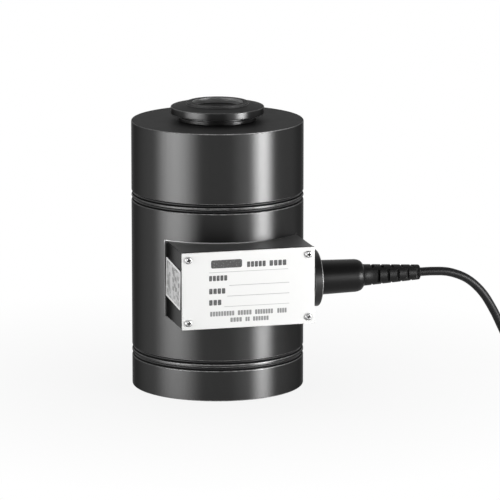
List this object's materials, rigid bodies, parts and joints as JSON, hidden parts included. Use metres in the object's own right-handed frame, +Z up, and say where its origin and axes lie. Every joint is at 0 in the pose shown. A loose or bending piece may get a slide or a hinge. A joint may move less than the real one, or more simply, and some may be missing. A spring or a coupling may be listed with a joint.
{
  "type": "cylindrical load cell",
  "caption": "Canister load cell for compression: turned steel body with a load button, side terminal box with a blank nameplate, cable gland and coiled cable.",
  "frame": {"origin": "centre of the base face, on the body's axis", "axes": "+Z up along the body's axis, the nameplate faces -Y, and the cable leaves the gland along +X"},
  "size_m": [0.4475, 0.1718, 0.2332],
  "materials": {
    "body": "semi-gloss black over turned steel",
    "box_paint": "satin black",
    "plate_enamel": "white enamel",
    "screws": "zinc plated",
    "label_foil": "printed foil",
    "gland_metal": "dark nickel plate",
    "gland_nylon": "moulded black",
    "relief_rubber": "moulded black",
    "rubber": "black",
    "cable_sheath": "extruded black",
    "board": "green laminate",
    "block_nylon": "grey",
    "gauge_film": "amber film",
    "wire_enamel": "enamelled wire",
    "core_red": "red",
    "core_white": "white",
    "core_green": "green",
    "core_black": "black"
  },
  "bodies": {
    "root": {"base": "body", "spring_element": "body", "load_button": "body", "case_tube": "body", "lower_spacer_ring": "body", "upper_spacer_ring": "body", "lower_o_ring_bottom": "rubber", "lower_o_ring_top": "rubber", "upper_o_ring_bottom": "rubber", "upper_o_ring_top": "rubber", "terminal_box": "box_paint", "cover_gasket": "rubber", "name_plate": "plate_enamel", "cover_screw_1": "screws", "cover_screw_2": "screws", "cover_screw_3": "screws", "cover_screw_4": "screws", "side_label": "label_foil", "gland_gasket": "rubber", "gland_flange": "gland_metal", "gland_locknut": "gland_metal", "gland_washer": "screws", "gland_bush": "rubber", "gland_sleeve": "gland_nylon", "strain_relief": "relief_rubber", "cable_entry": "cable_sheath", "terminal_board": "board", "board_screw_1": "screws", "board_screw_2": "screws", "board_screw_3": "screws", "board_screw_4": "screws", "terminal_block": "block_nylon", "clamp_screw_1": "screws", "clamp_screw_2": "screws", "clamp_screw_3": "screws", "clamp_screw_4": "screws", "clamp_screw_5": "screws", "clamp_screw_6": "screws", "core_red": "core_red", "core_white": "core_white", "core_green": "core_green", "core_black": "core_black", "strain_gauge_1": "gauge_film", "strain_gauge_2": "gauge_film", "strain_gauge_3": "gauge_film", "strain_gauge_4": "gauge_film", "bridge_wiring": "wire_enamel", "gauge_lead": "cable_sheath", "cable_tail": "cable_sheath", "cable_coil": "cable_sheath"}
  },
  "joints": []
}
